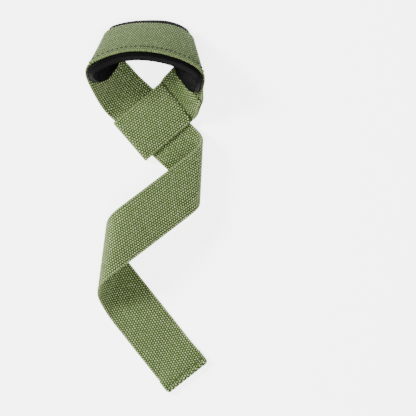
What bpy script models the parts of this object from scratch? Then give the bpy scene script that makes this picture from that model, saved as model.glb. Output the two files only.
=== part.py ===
"""Wrist support strap: one length of cotton webbing and the pad under its wrist band.

The strap lies on a flat surface as it is put down. The webbing runs from its cut end through
the sewn eye, round the wrist, back through the eye and out as a loose tail with a turned hem.
+Z points away from the surface, +Y towards the far side of the wrist band.
"""
import math

import bmesh
import bpy
import numpy as np

for old in list(bpy.data.objects):
    bpy.data.objects.remove(old, do_unlink=True)

# Webbing and pad, metres.
WEBBING_WIDTH = 0.038
WEBBING_THICKNESS = 0.0022
WEBBING_EDGE = 0.0005
LAYER_GAP = 0.0003
PAD_THICKNESS = 0.005
PAD_NEAR_OVERHANG = 0.0024
PAD_FAR_OVERHANG = 0.0065
PAD_CORNER = 0.0205
PAD_EDGE = 0.0011
PAD_RIGHT = 0.0655
PAD_LEFT = 0.0602
PAD_END_GAP = 0.0036
PAD_GAP = 0.0011

# The wrist band as it stands on the surface.
LOOP_WIDTH = 0.090
LOOP_DEPTH = 0.0737
BAND_LEAN = math.radians(57.0)
LEG_ANGLE = math.radians(40.6)
TAIL_ANGLE = math.radians(-42.7)

# The sewn eye on the right leg, measured from where the tail crosses it.
EYE_DROP = 0.0055
LEG_FLAT = 0.0235
TAIL_FLAT_BEFORE = 0.0225
EYE_SQUEEZE = 0.94

# The loose tail beyond the eye.
TAIL_LENGTH = 0.2754
HEM_LENGTH = 0.009
HEM_FLARE = 1.03
HEM_ROUND = 0.96
HEM_LEAD = 0.016

# Sampling of the curves.
STEP = 0.0021
FOLD_STEPS = 12
PAD_CORNER_STEPS = 7
LANDING_ROUNDS = 8
LANDING_NUDGE = 1e-4

# Sections of the wrist band in the order the webbing runs. Across is a share of LOOP_WIDTH
# from the middle, along a share of LOOP_DEPTH from the far edge towards the eye, height a
# share of BAND_LIFT, and rise a share of WEBBING_WIDTH from the far edge to the near one.
# name, near across, near along, near rise, far across, far along, far height
LOOP_SECTIONS = (
    ("right leg lifting", 0.3745, 0.8185, 0.1, 0.2355, 0.6095, 0.42),
    ("right leg rising", 0.42, 0.711, 0.24, 0.301, 0.51, 0.74),
    ("right side low", 0.444, 0.622, 0.395, 0.364, 0.395, 0.98),
    ("right side", 0.469, 0.54, 0.56, 0.4, 0.283, 1.02),
    ("right shoulder", 0.452, 0.476, 0.685, 0.391, 0.179, 1.02),
    ("right of the band", 0.386, 0.427, 0.78, 0.345, 0.098, 0.99),
    ("band towards the right", 0.286, 0.384, 0.84, 0.272, 0.037, 0.96),
    ("band right of middle", 0.16, 0.336, 0.835, 0.169, 0.002, 1.01),
    ("band middle", 0.026, 0.305, 0.85, 0.036, -0.008, 1.0),
    ("band left of middle", -0.103, 0.296, 0.855, -0.096, -0.001, 1.0),
    ("band towards the left", -0.232, 0.311, 0.835, -0.21, 0.026, 1.0),
    ("left of the band", -0.348, 0.342, 0.77, -0.302, 0.076, 1.11),
    ("left shoulder", -0.437, 0.383, 0.675, -0.359, 0.147, 1.24),
    ("left side", -0.479, 0.446, 0.545, -0.378, 0.237, 1.26),
    ("left side low", -0.458, 0.525, 0.41, -0.349, 0.326, 1.24),
    ("left leg falling", -0.396, 0.64, 0.26, -0.267, 0.418, 1.13),
    ("left leg low", -0.3567, 0.793, 0.16, -0.1589, 0.4837, 0.76),
    ("left leg settling", -0.3117, 0.9003, 0.075, -0.0761, 0.5638, 0.45),
)

# Bends of the tail. Start and length are shares of TAIL_LENGTH from the crossing.
# name, start, length, turn in degrees, slope of its axis over the webbing
TAIL_BENDS = (
    ("right turn", 0.1145, 0.165, 166.3, -0.855),
    ("left turn", 0.4427, 0.244, 166.0, -1.02),
    ("landing", 0.6475, 0.105, 32.1, -1.036),
)
EYE_SLOPE_END = 0.01
HEM_SLOPE_START = 0.85
BEND_FLATNESS = 0.56


def unit(vector):
    """Return the vector at length one."""
    return vector / np.linalg.norm(vector)


def ease(share):
    """Return a smooth step from 0 to 1 for a share from 0 to 1."""
    share = min(1.0, max(0.0, share))
    return share * share * (3.0 - 2.0 * share)


def turned(vector, axis, angle):
    """Return the vector turned about a unit axis."""
    cross = np.cross(axis, vector)
    along = axis * float(np.dot(axis, vector))
    return vector * math.cos(angle) + cross * math.sin(angle) + along * (1.0 - math.cos(angle))


def plan(across, along):
    """Return a point on the surface from shares of the wrist band's sizes."""
    return np.array([across * LOOP_WIDTH, -along * LOOP_DEPTH, 0.0])


def heading(angle):
    """Return the level direction at an angle from +X."""
    return np.array([math.cos(angle), math.sin(angle), 0.0])


UP = np.array([0.0, 0.0, 1.0])
LAYER = WEBBING_THICKNESS + LAYER_GAP
BOTTOM = WEBBING_THICKNESS / 2
PAD_FACE = BOTTOM + PAD_GAP + PAD_THICKNESS
BAND_LIFT = PAD_FAR_OVERHANG * math.sin(BAND_LEAN) + PAD_FACE * math.cos(BAND_LEAN)
CROSSING = np.array([0.0495 * LOOP_WIDTH, -1.006 * LOOP_DEPTH, 0.0])
LEG = heading(LEG_ANGLE)
TAIL = heading(TAIL_ANGLE)
CROSS_ANGLE = LEG_ANGLE - TAIL_ANGLE
CORNER = WEBBING_WIDTH / 2 * (1.0 / math.sin(CROSS_ANGLE) + abs(1.0 / math.tan(CROSS_ANGLE)))
FOLD_AT = CORNER * EYE_SQUEEZE - LAYER_GAP
SEAM_AT = CORNER + EYE_DROP


def flat_section(origin, direction, distance, height):
    """Return centre and half ruling of a level piece square to its direction."""
    centre = origin + direction * distance + UP * height
    return centre, np.cross(UP, direction) * (WEBBING_WIDTH / 2)


def fair_spline(knots, values, start_slope, end_slope):
    """Return a function through the values with the given end slopes."""
    count = len(knots)
    gaps = np.diff(knots)
    matrix = np.zeros((count, count))
    target = np.zeros_like(values)
    matrix[0, 0] = matrix[-1, -1] = 1.0
    target[0] = start_slope
    target[-1] = end_slope
    for k in range(1, count - 1):
        matrix[k, k - 1] = gaps[k]
        matrix[k, k] = 2.0 * (gaps[k - 1] + gaps[k])
        matrix[k, k + 1] = gaps[k - 1]
        before = (values[k] - values[k - 1]) / gaps[k - 1]
        after = (values[k + 1] - values[k]) / gaps[k]
        target[k] = 3.0 * (gaps[k] * before + gaps[k - 1] * after)
    slopes = np.linalg.solve(matrix, target)

    def value_at(place):
        k = min(count - 2, max(0, int(np.searchsorted(knots, place, side="right")) - 1))
        h = gaps[k]
        t = (place - knots[k]) / h
        return (
            values[k] * (1 + 2 * t) * (1 - t) ** 2
            + slopes[k] * h * t * (1 - t) ** 2
            + values[k + 1] * t * t * (3 - 2 * t)
            + slopes[k + 1] * h * t * t * (t - 1)
        )

    return value_at


def wrist_loop():
    """Return centres and rulings from the lifting leg round the wrist to the eye."""
    sections = [flat_section(CROSSING, LEG, LEG_FLAT, BOTTOM)]
    for _name, near_across, near_along, rise, far_across, far_along, height in LOOP_SECTIONS:
        far = plan(far_across, far_along) + UP * (BAND_LIFT * height)
        near = plan(near_across, near_along) + UP * (far[2] + WEBBING_WIDTH * rise)
        sections.append(((near + far) / 2, (far - near) / 2))
    sections.append(flat_section(CROSSING, TAIL, -TAIL_FLAT_BEFORE, BOTTOM + LAYER))
    centres = np.array([item[0] for item in sections])
    halves = np.array([item[1] for item in sections])
    knots = np.concatenate([[0.0], np.cumsum(np.linalg.norm(np.diff(centres, axis=0), axis=1))])
    centre_at = fair_spline(knots, centres, LEG, TAIL)
    half_at = fair_spline(knots, halves, np.zeros(3), np.zeros(3))
    count = max(8, int(round(knots[-1] / STEP)))
    places = np.linspace(0.0, knots[-1], count + 1)
    return [(centre_at(place), half_at(place)) for place in places]


def bend_weight(share):
    """Return how strongly a bend curves at a share of its length, area one."""
    if share <= 0.0 or share >= 1.0:
        return 0.0
    swing = math.cos(2.0 * math.pi * share)
    return 1.0 - swing * (1.0 - BEND_FLATNESS * math.cos(4.0 * math.pi * share))


def tail_slope(share, tilt):
    """Return the slope of the rulings over the webbing at a share of the tail."""
    first, second = TAIL_BENDS[0], TAIL_BENDS[1]
    enter = ease((share - EYE_SLOPE_END) / (first[1] - EYE_SLOPE_END))
    middle = ease((share - first[1] - first[2]) / (second[1] - first[1] - first[2]))
    leave = ease((share - HEM_SLOPE_START) / (1.0 - HEM_SLOPE_START))
    inside = ease((share - first[1]) / first[2]) * tilt
    slope = first[4] * enter + (second[4] - first[4]) * middle + inside
    return slope * (1.0 - leave)


def tail_run(turns, tilt):
    """Return the tail's stations, last centre, direction and normal for the given turns."""
    centre = CROSSING + UP * (BOTTOM + LAYER)
    tangent = TAIL.copy()
    ruling = np.cross(UP, TAIL)
    normal = UP.copy()
    count = int(round(TAIL_LENGTH / STEP))
    step = TAIL_LENGTH / count
    stations = [(centre.copy(), ruling.copy())]
    for k in range(count):
        share = (k + 0.5) / count
        slope = tail_slope(share, tilt)
        curve = 0.0
        for (_name, start, length, _turn, _slope), turn in zip(TAIL_BENDS, turns):
            curve += turn / (length * TAIL_LENGTH) * bend_weight((share - start) / length)
        axis = ruling + slope * tangent
        reach = np.linalg.norm(axis)
        axis = axis / reach
        half_angle = -curve * step * reach / 2
        tangent = turned(tangent, axis, half_angle)
        centre = centre + tangent * step
        tangent = turned(tangent, axis, half_angle)
        ruling = turned(ruling, axis, 2 * half_angle)
        normal = np.cross(tangent, ruling)
        stations.append((centre.copy(), ruling + tail_slope((k + 1) / count, tilt) * tangent))
    return stations, centre, tangent, normal


def landed_tail():
    """Return the tail with its turns adjusted until it lies level on the surface."""
    scale = [math.radians(row[3]) for row in TAIL_BENDS]
    reach = [1.0 / math.hypot(1.0, row[4]) for row in TAIL_BENDS]
    base = np.array([angle * share for angle, share in zip(scale, reach)])
    free = np.zeros(3)

    def misses(state):
        turns = base * np.array([1.0 + state[0], 1.0 + state[1], 1.0])
        _stations, centre, _tangent, normal = tail_run(turns, state[2])
        return np.array([normal[0], normal[1], (centre[2] - BOTTOM) / WEBBING_WIDTH])

    for _round in range(LANDING_ROUNDS):
        miss = misses(free)
        columns = []
        for k in range(3):
            nudge = np.zeros(3)
            nudge[k] = LANDING_NUDGE
            columns.append((misses(free + nudge) - miss) / LANDING_NUDGE)
        free = free - np.linalg.solve(np.array(columns).T, miss)
    turns = base * np.array([1.0 + free[0], 1.0 + free[1], 1.0])
    return tail_run(turns, free[2])


def eye_offset(distance):
    """Return how far the eye's upper layer lies off the lower one."""
    drop = ease((distance - CORNER) / (SEAM_AT - CORNER))
    return 2 * LAYER - LAYER * drop


def strip_frames(stations):
    """Return centre, unit-width ruling and normal for each station."""
    centres = np.array([item[0] for item in stations])
    tangents = np.gradient(centres, axis=0)
    frames = []
    for centre, tangent, (_point, ruling, width) in zip(centres, tangents, stations):
        tangent = unit(tangent)
        normal = unit(np.cross(tangent, ruling))
        square = float(np.linalg.norm(ruling - tangent * np.dot(ruling, tangent)))
        frames.append((centre, ruling / square * width, normal))
    return frames


def right_leg(loop):
    """Return distance, centre and half ruling from the eye's fold to where the tail starts."""
    count = int(round((FOLD_AT + LEG_FLAT) / STEP))
    leg = []
    for k in range(count):
        distance = -FOLD_AT + (FOLD_AT + LEG_FLAT) * k / count
        leg.append((distance, *flat_section(CROSSING, LEG, distance, BOTTOM)))
    distance = LEG_FLAT
    before = loop[0][0]
    for centre, half in loop:
        distance += float(np.linalg.norm(centre - before))
        before = centre
        leg.append((distance, centre, half))
    return leg


def upper_layer(leg, cut):
    """Return the eye's upper layer and the sewn end, from the cut end to the fold."""
    points = np.array([item[1] for item in leg])
    tangents = np.gradient(points, axis=0)
    layer = []
    for (distance, centre, half), tangent in zip(leg, tangents):
        if distance > cut:
            break
        lift = unit(np.cross(tangent, half))
        layer.append((centre + lift * eye_offset(distance), half, 1.0))
    layer.reverse()
    return layer


def eye_fold():
    """Return the stations of the half turn that closes the eye."""
    middle = CROSSING - LEG * FOLD_AT + UP * (BOTTOM + LAYER)
    half = np.cross(UP, LEG) * (WEBBING_WIDTH / 2)
    fold = []
    for k in range(1, FOLD_STEPS):
        angle = math.pi * k / FOLD_STEPS
        fold.append((middle + (UP * math.cos(angle) - LEG * math.sin(angle)) * LAYER, half, 1.0))
    return fold


def eye_passage():
    """Return the level stations of the tail inside the eye before the crossing."""
    count = int(round(TAIL_FLAT_BEFORE / STEP))
    passage = []
    for k in range(1, count):
        distance = TAIL_FLAT_BEFORE * (k / count - 1)
        passage.append((*flat_section(CROSSING, TAIL, distance, BOTTOM + LAYER), 1.0))
    return passage


def loose_tail():
    """Return the stations of the tail and of the hem folded under its end."""
    tail, end, tangent, _normal = landed_tail()
    ahead = unit(tangent * np.array([1.0, 1.0, 0.0]))
    side = np.cross(UP, ahead)
    stations = []
    for k, (centre, ruling) in enumerate(tail):
        left = TAIL_LENGTH * (1.0 - k / (len(tail) - 1))
        rise = LAYER * ease(1.0 - (left - HEM_LENGTH) / HEM_LEAD)
        flare = 1.0 + (HEM_FLARE - 1.0) * ease(1.0 - (left - HEM_LENGTH / 2) / HEM_LENGTH)
        stations.append((centre + UP * rise, ruling, flare))
    middle = end + UP * (LAYER / 2)
    for k in range(1, FOLD_STEPS):
        angle = math.pi * k / FOLD_STEPS
        spot = middle + (UP * math.cos(angle) + ahead * math.sin(angle)) * (LAYER / 2)
        stations.append((spot, side, HEM_FLARE + (HEM_ROUND - HEM_FLARE) * math.sin(angle)))
    under = int(round(HEM_LENGTH / STEP))
    for k in range(under + 1):
        stations.append((end - ahead * HEM_LENGTH * k / under, side, HEM_FLARE))
    return stations


def webbing_frames():
    """Return the frames from the cut end to the hem, the band's range and the pad's start."""
    loop = wrist_loop()
    leg = right_leg(loop)
    pad_start = (LEG_FLAT + leg[-1][0]) / 2 - PAD_RIGHT
    upper = upper_layer(leg, pad_start - PAD_END_GAP)
    fold = eye_fold()
    lower = [(centre, half, 1.0) for _distance, centre, half in leg]
    stations = upper + fold + lower + eye_passage() + loose_tail()
    first = len(upper) + len(fold)
    return strip_frames(stations), (first, first + len(lower)), FOLD_AT + pad_start


def running_length(frames):
    """Return the distance along the strip at each frame."""
    places = [0.0]
    for (before, _r, _n), (after, _s, _m) in zip(frames, frames[1:]):
        places.append(places[-1] + float(np.linalg.norm(after - before)))
    return places


def strip_mesh(name, rings):
    """Make a closed solid from rings of points."""
    mesh = bpy.data.meshes.new(name)
    size = len(rings[0])
    points = [tuple(point) for ring in rings for point in ring]
    faces = [tuple(range(size))]
    for k in range(len(rings) - 1):
        for j in range(size):
            a = k * size + j
            b = k * size + (j + 1) % size
            faces.append((a, a + size, b + size, b))
    last = (len(rings) - 1) * size
    faces.append(tuple(last + size - 1 - j for j in range(size)))
    mesh.from_pydata(points, [], faces)
    shell = bmesh.new()
    shell.from_mesh(mesh)
    bmesh.ops.recalc_face_normals(shell, faces=shell.faces)
    shell.to_mesh(mesh)
    shell.free()
    return mesh


def profile(half, thickness, edge):
    """Return a flat bar's outline with eased corners as width and depth pairs."""
    deep = thickness / 2
    return (
        (-half + edge, -deep), (half - edge, -deep), (half, -deep + edge), (half, deep - edge),
        (half - edge, deep), (-half + edge, deep), (-half, deep - edge), (-half, -deep + edge),
    )


def webbing_mesh(frames):
    """Make the webbing's solid."""
    rings = []
    for centre, ruling, normal in frames:
        outline = profile(WEBBING_WIDTH / 2, WEBBING_THICKNESS, WEBBING_EDGE)
        rings.append([centre + ruling * width + normal * depth for width, depth in outline])
    return strip_mesh("webbing_strap", rings)


def pad_mesh(frames, start):
    """Make the pad's solid on the inner face of the band, its corners rounded."""
    places = running_length(frames)
    end = start + PAD_RIGHT + PAD_LEFT
    half = (WEBBING_WIDTH + PAD_NEAR_OVERHANG + PAD_FAR_OVERHANG) / 2
    offset = (PAD_FAR_OVERHANG - PAD_NEAR_OVERHANG) / 2
    level = WEBBING_THICKNESS / 2 + PAD_GAP + PAD_THICKNESS / 2
    steps = PAD_CORNER_STEPS
    corner = [PAD_CORNER * (1 - math.cos(math.pi / 2 * k / steps)) for k in range(steps + 1)]
    straight = end - start - 2 * PAD_CORNER
    count = int(round(straight / STEP))
    marks = [start + inset for inset in corner]
    marks += [start + PAD_CORNER + straight * k / count for k in range(1, count)]
    marks += [end - inset for inset in reversed(corner)]
    table = np.array([[*centre, *ruling, *normal] for centre, ruling, normal in frames])
    rings = []
    for mark in marks:
        row = np.array([np.interp(mark, places, table[:, k]) for k in range(9)])
        centre, ruling, normal = row[:3], row[3:6], unit(row[6:])
        inset = PAD_CORNER - min(PAD_CORNER, mark - start, end - mark)
        width = half - PAD_CORNER + math.sqrt(max(0.0, PAD_CORNER ** 2 - inset ** 2))
        outline = profile(width, PAD_THICKNESS, PAD_EDGE)
        rings.append([centre + ruling * (offset + w) + normal * (level + d) for w, d in outline])
    return strip_mesh("wrist_pad", rings)


def material(name, colour, roughness):
    """Return a plain material."""
    made = bpy.data.materials.new(name)
    made.use_nodes = True
    shader = made.node_tree.nodes["Principled BSDF"]
    shader.inputs["Base Color"].default_value = (*colour, 1.0)
    shader.inputs["Roughness"].default_value = roughness
    return made


def add_piece(mesh, finish, shift):
    """Add the mesh to the scene with its finish, moved onto the surface."""
    for vertex in mesh.vertices:
        vertex.co.x += shift[0]
        vertex.co.y += shift[1]
        vertex.co.z += shift[2]
    mesh.materials.append(finish)
    thing = bpy.data.objects.new(mesh.name, mesh)
    bpy.context.scene.collection.objects.link(thing)


def build():
    """Build both pieces with the origin under the middle of the strap."""
    frames, (first, last), pad_start = webbing_frames()
    webbing = webbing_mesh(frames)
    pad = pad_mesh(frames[first:last], pad_start)
    points = np.array([tuple(vertex.co) for mesh in (webbing, pad) for vertex in mesh.vertices])
    low, high = points.min(axis=0), points.max(axis=0)
    shift = (-(low[0] + high[0]) / 2, -(low[1] + high[1]) / 2, -low[2])
    add_piece(webbing, material("cotton webbing", (0.20, 0.25, 0.12), 0.9), shift)
    add_piece(pad, material("neoprene", (0.012, 0.012, 0.012), 0.7), shift)


build()
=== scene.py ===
"""Wrist support strap: woven cotton webbing and a foam wrist pad, laid flat on a pale surface.

The webbing is rebuilt along the same line as its solid, with every warp float as a small
form of its own. The pad gets its foam core and two knitted faces, and the seams their thread.
"""
import logging
import math
from collections.abc import Callable
from dataclasses import dataclass, field
from enum import Enum

import bmesh
import bpy
import numpy as np
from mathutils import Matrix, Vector


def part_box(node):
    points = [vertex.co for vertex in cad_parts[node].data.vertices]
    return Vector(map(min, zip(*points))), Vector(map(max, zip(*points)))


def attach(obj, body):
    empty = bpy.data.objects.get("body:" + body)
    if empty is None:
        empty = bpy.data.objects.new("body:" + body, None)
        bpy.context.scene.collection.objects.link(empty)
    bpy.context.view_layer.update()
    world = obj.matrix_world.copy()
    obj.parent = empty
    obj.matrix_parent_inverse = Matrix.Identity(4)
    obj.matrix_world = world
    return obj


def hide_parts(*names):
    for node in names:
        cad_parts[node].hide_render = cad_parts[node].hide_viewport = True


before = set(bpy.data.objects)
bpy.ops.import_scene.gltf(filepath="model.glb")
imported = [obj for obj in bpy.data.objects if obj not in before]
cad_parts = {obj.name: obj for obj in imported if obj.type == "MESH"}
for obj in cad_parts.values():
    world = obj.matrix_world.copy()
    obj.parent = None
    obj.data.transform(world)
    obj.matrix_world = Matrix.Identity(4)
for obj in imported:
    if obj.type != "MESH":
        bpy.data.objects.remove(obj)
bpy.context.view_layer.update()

logging.basicConfig(level=logging.INFO, format="%(levelname)s %(message)s")
LOG = logging.getLogger("wrist_strap")

UP = np.array([0.0, 0.0, 1.0])
Array = np.ndarray


def unit(vector: Array) -> Array:
    """Return the vector at length one."""
    return vector / np.linalg.norm(vector)


def ease(share: float) -> float:
    """Return a smooth step from 0 to 1 for a share from 0 to 1."""
    share = min(1.0, max(0.0, share))
    return share * share * (3.0 - 2.0 * share)


def heading(degrees: float) -> Array:
    """Return the level direction at an angle from +X."""
    angle = math.radians(degrees)
    return np.array([math.cos(angle), math.sin(angle), 0.0])


def turned(vector: Array, axis: Array, angle: float) -> Array:
    """Return the vector turned about a unit axis."""
    along = axis * float(np.dot(axis, vector))
    swept = np.cross(axis, vector) * math.sin(angle)
    return vector * math.cos(angle) + swept + along * (1.0 - math.cos(angle))


@dataclass(frozen=True)
class Section:
    """One section of the wrist band: shares across and along it, and of its rise and its lift."""

    name: str
    near: tuple[float, float, float]
    far: tuple[float, float, float]


@dataclass(frozen=True)
class Bend:
    """One bend of the tail: start and length as shares of the tail, turn in degrees."""

    name: str
    start: float
    length: float
    turn: float
    slope: float


@dataclass(frozen=True)
class StripLine:
    """The line that the webbing follows, from its cut end to its hem."""

    width: float = 0.038
    thickness: float = 0.0022
    gap: float = 0.0003
    loop_width: float = 0.090
    loop_depth: float = 0.0737
    lean_degrees: float = 57.0
    pad_face: float = 0.0072
    pad_overhang: float = 0.0065
    leg_degrees: float = 40.6
    tail_degrees: float = -42.7
    crossing_across: float = 0.0495
    crossing_along: float = 1.006
    eye_drop: float = 0.0055
    leg_flat: float = 0.0235
    passage: float = 0.0225
    squeeze: float = 0.94
    pad_right: float = 0.0655
    pad_end_gap: float = 0.0036
    tail_length: float = 0.2754
    hem_length: float = 0.009
    hem_flare: float = 1.03
    hem_round: float = 0.96
    hem_lead: float = 0.016
    slope_from: float = 0.01
    slope_until: float = 0.85
    flatness: float = 0.56
    step: float = 0.0007
    fold_steps: int = 28
    sections: tuple[Section, ...] = (
        Section("right leg lifting", (0.3745, 0.8185, 0.1), (0.2355, 0.6095, 0.42)),
        Section("right leg rising", (0.42, 0.711, 0.24), (0.301, 0.51, 0.74)),
        Section("right side low", (0.444, 0.622, 0.395), (0.364, 0.395, 0.98)),
        Section("right side", (0.469, 0.54, 0.56), (0.4, 0.283, 1.02)),
        Section("right shoulder", (0.452, 0.476, 0.685), (0.391, 0.179, 1.02)),
        Section("right of the band", (0.386, 0.427, 0.78), (0.345, 0.098, 0.99)),
        Section("band towards the right", (0.286, 0.384, 0.84), (0.272, 0.037, 0.96)),
        Section("band right of middle", (0.16, 0.336, 0.835), (0.169, 0.002, 1.01)),
        Section("band middle", (0.026, 0.305, 0.85), (0.036, -0.008, 1.0)),
        Section("band left of middle", (-0.103, 0.296, 0.855), (-0.096, -0.001, 1.0)),
        Section("band towards the left", (-0.232, 0.311, 0.835), (-0.21, 0.026, 1.0)),
        Section("left of the band", (-0.348, 0.342, 0.77), (-0.302, 0.076, 1.11)),
        Section("left shoulder", (-0.437, 0.383, 0.675), (-0.359, 0.147, 1.24)),
        Section("left side", (-0.479, 0.446, 0.545), (-0.378, 0.237, 1.26)),
        Section("left side low", (-0.458, 0.525, 0.41), (-0.349, 0.326, 1.24)),
        Section("left leg falling", (-0.396, 0.64, 0.26), (-0.267, 0.418, 1.13)),
        Section("left leg low", (-0.3567, 0.793, 0.16), (-0.1589, 0.4837, 0.76)),
        Section("left leg settling", (-0.3117, 0.9003, 0.075), (-0.0761, 0.5638, 0.45)),
    )
    bends: tuple[Bend, ...] = (
        Bend("right turn", 0.1145, 0.165, 166.3, -0.855),
        Bend("left turn", 0.4427, 0.244, 166.0, -1.02),
        Bend("landing", 0.6475, 0.105, 32.1, -1.036),
    )

    @property
    def layer(self) -> float:
        """Return the rise from one layer of webbing to the next."""
        return self.thickness + self.gap

    @property
    def crossing(self) -> Array:
        """Return where the tail crosses the right leg, on the surface."""
        across = self.crossing_across * self.loop_width
        return np.array([across, -self.crossing_along * self.loop_depth, 0.0])

    @property
    def corner(self) -> float:
        """Return how far from the crossing the tail's corners reach along the leg."""
        angle = math.radians(self.leg_degrees - self.tail_degrees)
        return self.width / 2 * (1.0 / math.sin(angle) + abs(1.0 / math.tan(angle)))

    @property
    def fold_at(self) -> float:
        """Return how far before the crossing the eye folds."""
        return self.corner * self.squeeze - self.gap

    @property
    def seam_at(self) -> float:
        """Return how far beyond the crossing the eye is sewn shut."""
        return self.corner + self.eye_drop

    def flat_section(self, degrees: float, distance: float, height: float) -> tuple[Array, Array]:
        """Return centre and half ruling of a level piece square to its direction.

        Args:
            degrees: Heading of the piece.
            distance: Distance from the crossing along that heading.
            height: Height of its middle over the surface.

        Returns:
            The middle of the section and the vector from there to its far edge.
        """
        ahead = heading(degrees)
        return self.crossing + ahead * distance + UP * height, np.cross(UP, ahead) * self.width / 2

    @property
    def lift(self) -> float:
        """Return how high the far edge stands so that the pad beyond it clears the surface."""
        lean = math.radians(self.lean_degrees)
        return self.pad_overhang * math.sin(lean) + self.pad_face * math.cos(lean)

    def band_section(self, section: Section) -> tuple[Array, Array]:
        """Return centre and half ruling of a section of the wrist band."""
        across, along, height = section.far
        far = np.array([across * self.loop_width, -along * self.loop_depth, height * self.lift])
        across, along, rise = section.near
        near = np.array([across * self.loop_width, -along * self.loop_depth, far[2] + rise * self.width])
        return (near + far) / 2, (far - near) / 2

    @staticmethod
    def fair_curve(knots: Array, values: Array, first: Array, last: Array) -> Callable[[float], Array]:
        """Fit a smooth curve through values.

        Args:
            knots: Places of the values along the curve.
            values: One row per knot.
            first: Slope at the first knot.
            last: Slope at the last knot.

        Returns:
            A function from a place to the value there.
        """
        count = len(knots)
        gaps = np.diff(knots)
        matrix = np.zeros((count, count))
        target = np.zeros_like(values)
        matrix[0, 0] = matrix[-1, -1] = 1.0
        target[0], target[-1] = first, last
        for k in range(1, count - 1):
            matrix[k, k - 1 : k + 2] = gaps[k], 2.0 * (gaps[k - 1] + gaps[k]), gaps[k - 1]
            before = (values[k] - values[k - 1]) / gaps[k - 1]
            after = (values[k + 1] - values[k]) / gaps[k]
            target[k] = 3.0 * (gaps[k] * before + gaps[k - 1] * after)
        slopes = np.linalg.solve(matrix, target)

        def value_at(place: float) -> Array:
            """Return the value at a place."""
            k = min(count - 2, max(0, int(np.searchsorted(knots, place, side="right")) - 1))
            h = gaps[k]
            t = (place - knots[k]) / h
            return (
                values[k] * (1 + 2 * t) * (1 - t) ** 2
                + slopes[k] * h * t * (1 - t) ** 2
                + values[k + 1] * t * t * (3 - 2 * t)
                + slopes[k + 1] * h * t * t * (t - 1)
            )

        return value_at

    def wrist_loop(self) -> list[tuple[Array, Array]]:
        """Return centres and half rulings from the lifting leg round the wrist to the eye."""
        low = self.thickness / 2
        rows = [self.flat_section(self.leg_degrees, self.leg_flat, low)]
        rows += [self.band_section(section) for section in self.sections]
        rows.append(self.flat_section(self.tail_degrees, -self.passage, low + self.layer))
        centres = np.array([row[0] for row in rows])
        halves = np.array([row[1] for row in rows])
        knots = np.concatenate([[0.0], np.cumsum(np.linalg.norm(np.diff(centres, axis=0), axis=1))])
        still = np.zeros(3)
        centre_at = self.fair_curve(knots, centres, heading(self.leg_degrees), heading(self.tail_degrees))
        half_at = self.fair_curve(knots, halves, still, still)
        count = max(8, int(round(knots[-1] / self.step)))
        return [(centre_at(x), half_at(x)) for x in np.linspace(0.0, knots[-1], count + 1)]

    def bend_weight(self, share: float) -> float:
        """Return how strongly a bend curves at a share of its length, area one."""
        if share <= 0.0 or share >= 1.0:
            return 0.0
        swing = math.cos(2.0 * math.pi * share)
        return 1.0 - swing * (1.0 - self.flatness * math.cos(4.0 * math.pi * share))

    def tail_slope(self, share: float, tilt: float) -> float:
        """Return the slope of the rulings over the webbing at a share of the tail."""
        first, second = self.bends[0], self.bends[1]
        enter = ease((share - self.slope_from) / (first.start - self.slope_from))
        passed = first.start + first.length
        middle = ease((share - passed) / (second.start - passed))
        leave = ease((share - self.slope_until) / (1.0 - self.slope_until))
        inside = ease((share - first.start) / first.length) * tilt
        slope = first.slope * enter + (second.slope - first.slope) * middle + inside
        return slope * (1.0 - leave)

    def tail_run(self, turns: Array, tilt: float) -> tuple[list[tuple[Array, Array]], Array, Array]:
        """March along the tail.

        Args:
            turns: How far each bend turns the webbing, in radians over its length.
            tilt: Change of the rulings' slope over the first bend.

        Returns:
            The stations, the last direction and the last normal.
        """
        centre = self.crossing + UP * (self.thickness / 2 + self.layer)
        tangent = heading(self.tail_degrees)
        ruling = np.cross(UP, tangent)
        count = int(round(self.tail_length / self.step))
        step = self.tail_length / count
        stations = [(centre, ruling)]
        for k in range(count):
            share = (k + 0.5) / count
            slope = self.tail_slope(share, tilt)
            curve = sum(
                turn / (bend.length * self.tail_length) * self.bend_weight((share - bend.start) / bend.length)
                for bend, turn in zip(self.bends, turns)
            )
            axis = ruling + slope * tangent
            reach = float(np.linalg.norm(axis))
            half_angle = -curve * step * reach / 2
            tangent = turned(tangent, axis / reach, half_angle)
            centre = centre + tangent * step
            tangent = turned(tangent, axis / reach, half_angle)
            ruling = turned(ruling, axis / reach, 2 * half_angle)
            stations.append((centre, ruling + self.tail_slope((k + 1) / count, tilt) * tangent))
        return stations, tangent, np.cross(tangent, ruling)

    def landed_tail(self) -> tuple[list[tuple[Array, Array]], Array]:
        """Return the tail's stations and last direction, its turns set so that it lies level."""
        base = np.array([math.radians(b.turn) / math.hypot(1.0, b.slope) for b in self.bends])
        free = np.zeros(3)
        rounds, nudge_size = 6, 1e-4

        def turns(state: Array) -> Array:
            """Return the bends' turns for a state."""
            return base * np.array([1.0 + state[0], 1.0 + state[1], 1.0])

        def misses(state: Array) -> Array:
            """Return the tilt and height that are left at the tail's end."""
            stations, _tangent, normal = self.tail_run(turns(state), state[2])
            height = stations[-1][0][2] - self.thickness / 2
            return np.array([normal[0], normal[1], height / self.width])

        for _round in range(rounds):
            miss = misses(free)
            columns = [(misses(free + nudge) - miss) / nudge_size for nudge in np.eye(3) * nudge_size]
            free = free - np.linalg.solve(np.array(columns).T, miss)
        stations, tangent, _normal = self.tail_run(turns(free), free[2])
        return stations, tangent

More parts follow.
